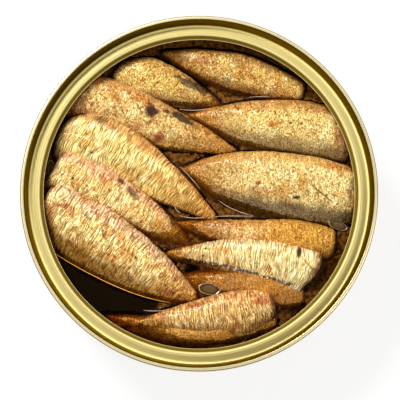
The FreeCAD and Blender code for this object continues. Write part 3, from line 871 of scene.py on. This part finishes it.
def unrolled(piece, count, rounds):
    """A map of the grid laid flat, cut along its first round, with the two poles as its short sides."""
    corners = read_mesh(piece.data.loops, "vertex_index", np.int32)
    sizes = read_mesh(piece.data.polygons, "loop_total", np.int32)
    owner = np.repeat(np.arange(len(sizes)), sizes)
    poles = count * rounds
    is_pole = corners >= poles
    row = np.where(is_pole, np.where(corners == poles, -1, count), corners // rounds)
    step = (corners % rounds).astype(float)
    widest, least = np.full(len(sizes), -1.0), np.full(len(sizes), 1e9)
    np.maximum.at(widest, owner[~is_pole], step[~is_pole])
    np.minimum.at(least, owner[~is_pole], step[~is_pole])
    wraps = widest - least > rounds / 2
    step[wraps[owner] & (step < rounds / 2)] += rounds
    step[is_pole] = np.where(wraps, rounds - 0.5, least + 0.5)[owner[is_pole]]
    places = np.column_stack([(row + 1) / (count + 1), step / rounds])
    piece.data.uv_layers.new(name="OFBake").data.foreach_set("uv", places.astype(np.float32).ravel())


# ---------------------------------------- the oil

MAP_CELL, MAP_REACH = 0.4 * MM, 50.8 * MM
MAP_COUNT = int(round(2 * MAP_REACH / MAP_CELL)) + 1
MAP_X, MAP_Y = np.meshgrid(*[np.linspace(-MAP_REACH, MAP_REACH, MAP_COUNT)] * 2, indexing="ij")
MAP_RADIUS = np.hypot(MAP_X, MAP_Y)
OIL_BOTTOM, OIL_DEEPEST = 3.2 * MM, 30.0 * MM
RIM_INSIDE, RIM_SHADE = 44.9 * MM, TIN_HEIGHT - 3.0 * MM  # where the rim begins to shade, and how high


def on_map(places):
    return tuple(np.clip(np.round((places[..., axis] + MAP_REACH) / MAP_CELL).astype(int), 0, MAP_COUNT - 1)
                 for axis in (0, 1))


def height_map(grids):
    """The height of the highest skin over each cell of a square map of the tin."""
    heights = np.full(MAP_X.shape, -1.0)
    for grid in grids:
        np.maximum.at(heights, on_map(grid["points"]), grid["points"][..., 2])
    grown = heights.copy()
    for step_x in (-1, 0, 1):
        for step_y in (-1, 0, 1):
            grown = np.maximum(grown, np.roll(np.roll(heights, step_x, 0), step_y, 1))
    return np.where(heights < 0, grown, heights)


def blurred(field, reach):
    """A map's mean over a soft patch that reaches so many cells each way."""
    weights = np.exp(-0.5 * (np.arange(-3 * reach, 3 * reach + 1) / reach) ** 2)
    weights /= weights.sum()
    for axis in (0, 1):
        field = np.apply_along_axis(np.convolve, axis, field, weights, mode="same")
    return field


def crevice_shade(grids, heights):
    """How hemmed in each place of each grid is by what stands higher round it, nought to one."""
    around = np.where(MAP_RADIUS > RIM_INSIDE, RIM_SHADE, np.maximum(heights, OIL_LEVEL))
    near, wide = blurred(around, 2), blurred(around, 6)
    shades = []
    for points in (grid["points"] for grid in grids):
        close = ramp(near[on_map(points)] - points[..., 2], 0.15 * MM, 1.5 * MM)
        loose = ramp(wide[on_map(points)] - points[..., 2], 0.4 * MM, 3.2 * MM)
        shades.append(np.clip(0.8 * close + 0.65 * loose, 0, 1))
    return shades


def make_oil(heights):
    """The oil as one body: a level that climbs every skin and the wall, with a side and a bottom."""
    wall = WALL_INSIDE - 0.02 * MM
    emerged = heights > OIL_LEVEL
    tree = kdtree.KDTree(int(emerged.sum()))
    for number, place in enumerate(zip(MAP_X[emerged], MAP_Y[emerged])):
        tree.insert((*place, 0), number)
    tree.balance()
    away = np.zeros_like(MAP_X)
    for cell in zip(*np.nonzero(~emerged & (MAP_RADIUS < wall + MAP_CELL))):
        away[cell] = tree.find((MAP_X[cell], MAP_Y[cell], 0))[2]
    at_wall = np.maximum(wall - MAP_RADIUS, 0)
    rise = (0.5 * np.exp(-away / (0.75 * MM)) + 0.6 * np.exp(-at_wall / (0.8 * MM))) * MM
    level = (blurred(OIL_LEVEL - 0.1 * MM + rise, 2)
             + 0.04 * MM * cloudy(MAP_X / (9 * MM), MAP_Y / (9 * MM), 900, 2))
    pull = np.minimum(1, wall / np.maximum(MAP_RADIUS, 1e-9))
    inside = MAP_RADIUS < wall + 0.72 * MAP_CELL
    number = -np.ones(MAP_X.shape, dtype=int)
    number[inside] = np.arange(inside.sum())
    points = np.column_stack([(MAP_X * pull)[inside], (MAP_Y * pull)[inside], level[inside]])
    corners = np.stack([number[:-1, :-1], number[1:, :-1], number[1:, 1:], number[:-1, 1:]], axis=-1)
    faces = [tuple(face) for face in corners.reshape(-1, 4) if face.min() >= 0]
    sides = [pair for face in faces for pair in zip(face, face[1:] + face[:1])]
    known = set(sides)
    shore = {first: second for first, second in sides if (second, first) not in known}
    rim = [next(iter(shore))]
    while shore[rim[-1]] != rim[0]:
        rim.append(shore[rim[-1]])
    low = points[rim] * np.array([0.999, 0.999, 0]) + OIL_BOTTOM * UP
    total = len(points)
    for index, edge in enumerate(rim):
        after = (index + 1) % len(rim)
        faces.append((rim[after], edge, total + index, total + after))
        faces.append((total + after, total + index, total + len(rim)))
    piece = mesh_object("oil_looks", np.vstack([points, low, low.mean(0)]), faces)
    # only the open pool is clear: elsewhere a mottled dark brown, painted shade that stands in for fish
    # lying dim below, covers the oil between the sprats
    open_water = ramp(blurred((away > 1.9 * MM).astype(float), 4), 0.03, 0.12)
    shaded_gaps = 1 - open_water * ramp(MAP_X, 2 * MM, -2 * MM) * ramp(MAP_Y, -12 * MM, -16 * MM)
    depth = np.clip(level - heights, 0, OIL_DEEPEST) / MM
    for name, values, below in (("depth", depth, OIL_DEEPEST / MM), ("shaded_gaps", shaded_gaps, 0.0)):
        add_values(piece, name, np.append(values[inside], np.full(len(rim) + 1, below)))
    piece.data.materials.append(oil_material("oil_amber"))
    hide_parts("oil")
    return piece


# Painted highlights where the oil's edge would catch the light beside a sprat: each thin line's start, bend
# and end in mm.
GLINTS = (
    ((-5.6, 8.5), (-2.5, 5.4), (0.3, 1.9)),
    ((5.7, -1.5), (9.4, -4.6), (15.8, -6.0)),
    ((-5.9, -5.9), (-2.0, -7.2), (3.4, -6.3)),
    ((3.4, -6.3), (9.0, -5.9), (15.8, -6.2)),
    ((-7.0, -3.0), (-7.1, -4.2), (-5.4, -5.2)),
    ((14.4, 28.8), (17.6, 29.2), (20.9, 28.9)),
    ((-5.9, 25.3), (-1.0, 24.5), (4.6, 25.8)),
    ((-9.0, -33.3), (-12.4, -33.9), (-16.0, -33.4)),
)
GLINT_STEPS, GLINT_THICK, GLINT_COLOUR = 24, 0.07, (214, 196, 174)
# the shore line is a painted amber highlight beside the open pool's edge
SHORE_STEPS, SHORE_THICK, SHORE_HIGHLIGHT_COLOUR = 60, 0.13, (232, 160, 52)
SHORE_FROM, SHORE_TO, SHORE_OFF = 0.12, 0.86, 1.0  # shares of the sprat's length, and mm off its belly
THREAD_HEIGHT, THREAD_SIDES, BUBBLE_SIDES = 0.42, 8, 64
# Bubbles on the oil: middle in mm, half length, half width and lean in degrees.
BUBBLES = ((3.0, -27.3, 3.2, 1.7, -12), (40.3, -8.9, 2.8, 1.2, -20), (-42.9, 7.0, 3.3, 1.1, 96))
# A bubble from its sunken foot to its middle: shares of its half size, and mm over the oil.
BUBBLE_RINGS = ((1.1, -0.5), (1.05, 0.3), (1.0, 0.56), (0.95, 0.64), (0.9, 0.6), (0.84, 0.52), (0.7, 0.54),
                (0.5, 0.62), (0.3, 0.68), (0.12, 0.7))


def glint_lines():
    share = np.linspace(0, 1, GLINT_STEPS + 1)[:, None]
    return [bent(*(np.array(place) * MM for place in line), share) for line in GLINTS]


def shore_line(grid):
    """A line on the oil beside a sprat's belly, between two shares of its length and a little off it, for a
    painted highlight.
    """
    rows, rounds = grid["points"].shape[:2]
    belly_side = np.cos(np.linspace(-math.pi, math.pi, rounds, endpoint=False)) < 0
    places = []
    for row in np.round(np.linspace(SHORE_FROM, SHORE_TO, SHORE_STEPS + 1) * (rows - 1)).astype(int):
        low = grid["points"][row][belly_side]
        places.append(low[np.argsort(np.abs(low[:, 2] - OIL_LEVEL))[:rounds // 4 // 4], :2].mean(0))
    share = np.linspace(0, 1, SHORE_STEPS + 1)
    places = np.column_stack([np.polyval(np.polyfit(share, run, 5), share) for run in np.array(places).T])
    return places - leftward(places) * SHORE_OFF * MM


def make_painted_highlights(name, lines, thickness, colour):
    """Painted highlights on the oil: fine pale lines, drawn as tapered threads that stand just above its
    level.
    """
    points, faces = [], []
    for line in lines:
        faces += tube_faces(len(line), THREAD_SIDES, len(points))
        for step, (place, side) in enumerate(zip(line, leftward(line))):
            thick = thickness * (0.25 + 0.75 * math.sin(math.pi * step / (len(line) - 1)) ** 0.6) * MM
            for number in range(THREAD_SIDES):
                turn = 2 * math.pi * number / THREAD_SIDES
                flat = place + side * thick * math.cos(turn)
                points.append((*flat, OIL_LEVEL + THREAD_HEIGHT * MM + thick * math.sin(turn)))
    piece = mesh_object(name, points, faces)
    tidy_mesh(piece)
    shader = Shader(name)
    shader.shape(Base_Color=rgba(linear(*colour)), Roughness=0.3)
    piece.data.materials.append(shader.made)
    return piece


def make_bubbles():
    """Flat bubbles: a low dark dome with a raised lip round it, the lip painted paler as a highlight."""
    shader = Shader("bubble_skin")
    shader.shape(Base_Color=shader.read("film", "Color"), Roughness=0.12,
                 Coat_Weight=0.6, Coat_Roughness=0.05)
    reach, height = np.array(BUBBLE_RINGS).T[..., None]
    # the lip's pale film is a painted highlight
    painted_highlight_lip, outer = (reach > 0.93) & (reach < 1.02), reach > 0.6
    films = np.where(painted_highlight_lip, linear(170, 130, 70), np.where(outer, linear(64, 44, 20), linear(92, 70, 38)))
    turn = np.linspace(0, 2 * math.pi, BUBBLE_SIDES, endpoint=False)
    made = []
    for order, (at_x, at_y, half_long, half_wide, lean) in enumerate(BUBBLES):
        wobble = reach * (1 + 0.03 * np.sin(2 * turn + order) + 0.02 * np.sin(5 * turn))
        x, y = spun(half_long * wobble * np.cos(turn), half_wide * wobble * np.sin(turn), lean)
        points = np.stack([(at_x + x) * MM, (at_y + y) * MM, OIL_LEVEL + height * MM + 0 * x], axis=-1)
        piece = mesh_object(f"oil_bubble_{order + 1}", points.reshape(-1, 3),
                            tube_faces(len(BUBBLE_RINGS), BUBBLE_SIDES))
        tidy_mesh(piece)
        add_colour(piece, "film", np.repeat(films, BUBBLE_SIDES, axis=0))
        piece.data.materials.append(shader.made)
        made.append(piece)
    return made


# ---------------------------------------- the room

def make_floor():
    bpy.ops.mesh.primitive_plane_add(size=6, location=(0, 0, -0.2 * MM))
    floor = bpy.context.active_object
    floor.name = "floor"
    shader = Shader("pale_floor")
    straight = shader.add("LightPath")["Is Camera Ray"]
    shader.shape(Base_Color=shader.blend(straight, rgba((0.8, 0.8, 0.8)), rgba((0.2, 0.2, 0.2))),
                 Roughness=0.9, Specular_IOR_Level=0.0, Emission_Color=rgba((1, 1, 1)),
                 Emission_Strength=shader.maths("MULTIPLY", straight, FLOOR_SEEN))
    floor.data.materials.append(shader.made)


def aimed(name, data, place, target):
    """A lamp or a camera put in its place and turned to its target."""
    made = bpy.data.objects.new(name, data)
    bpy.context.scene.collection.objects.link(made)
    made.location = place
    made.rotation_euler = (Vector(target) - made.location).to_track_quat("-Z", "Y").to_euler()
    return made


def light_the_room():
    """A ring of soft light all round and little from straight above, with a key from behind on the left."""
    sky = Shader("studio", "worlds")
    height = sky.add("SeparateXYZ", {0: sky.add("TexCoord")["Generated"]})["Z"]
    sky.shape("Background", Color=WORLD_COLOUR,
              Strength=sky.spread(height, *SKY_FADES, WORLD_LIGHT, SKY_TOP * WORLD_LIGHT))
    bpy.context.scene.world = sky.made
    for name, (azimuth, elevation, away, size, watts) in LAMPS.items():
        data = bpy.data.lights.new(name, "AREA")
        data.size, data.energy = size, watts
        turn, rise = math.radians(azimuth), math.radians(elevation)
        aimed(name, data, (away * math.sin(turn) * math.cos(rise), -away * math.cos(turn) * math.cos(rise),
                           away * math.sin(rise)), (0, 0, 0.02))


def make_camera():
    data = bpy.data.cameras.new("camera")
    data.sensor_width, data.lens, data.clip_start = 36, CAMERA_LENS, 0.01
    rise, aim = math.radians(CAMERA_ELEVATION), Vector(CAMERA_AIM)
    place = aim + Vector((0, -math.cos(rise), math.sin(rise))) * CAMERA_AWAY
    bpy.context.scene.camera = aimed("camera", data, place, aim)
    bpy.context.scene.view_settings.view_transform = "Standard"


SKIN = skin_material("smoked_skin_looks")
pieces = make_tin()
grids = {node: shaped_sprat(node, order) for order, node in enumerate(SPRATS)}
heights = height_map(grids.values())
for (node, grid), shade in zip(grids.items(), crevice_shade(grids.values(), heights)):
    pieces.append(dressed_sprat(node, grid, shade))
pieces.append(make_oil(heights))
pieces.append(make_painted_highlights("oil_glints", glint_lines(), GLINT_THICK, GLINT_COLOUR))
pieces.append(make_painted_highlights("oil_shore_highlight", [shore_line(grids["sprat_left_5"])], SHORE_THICK, SHORE_HIGHLIGHT_COLOUR))
pieces += make_bubbles()
for piece in pieces:
    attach(piece, "root")
make_floor()
light_the_room()
make_camera()

bpy.context.view_layer.update()
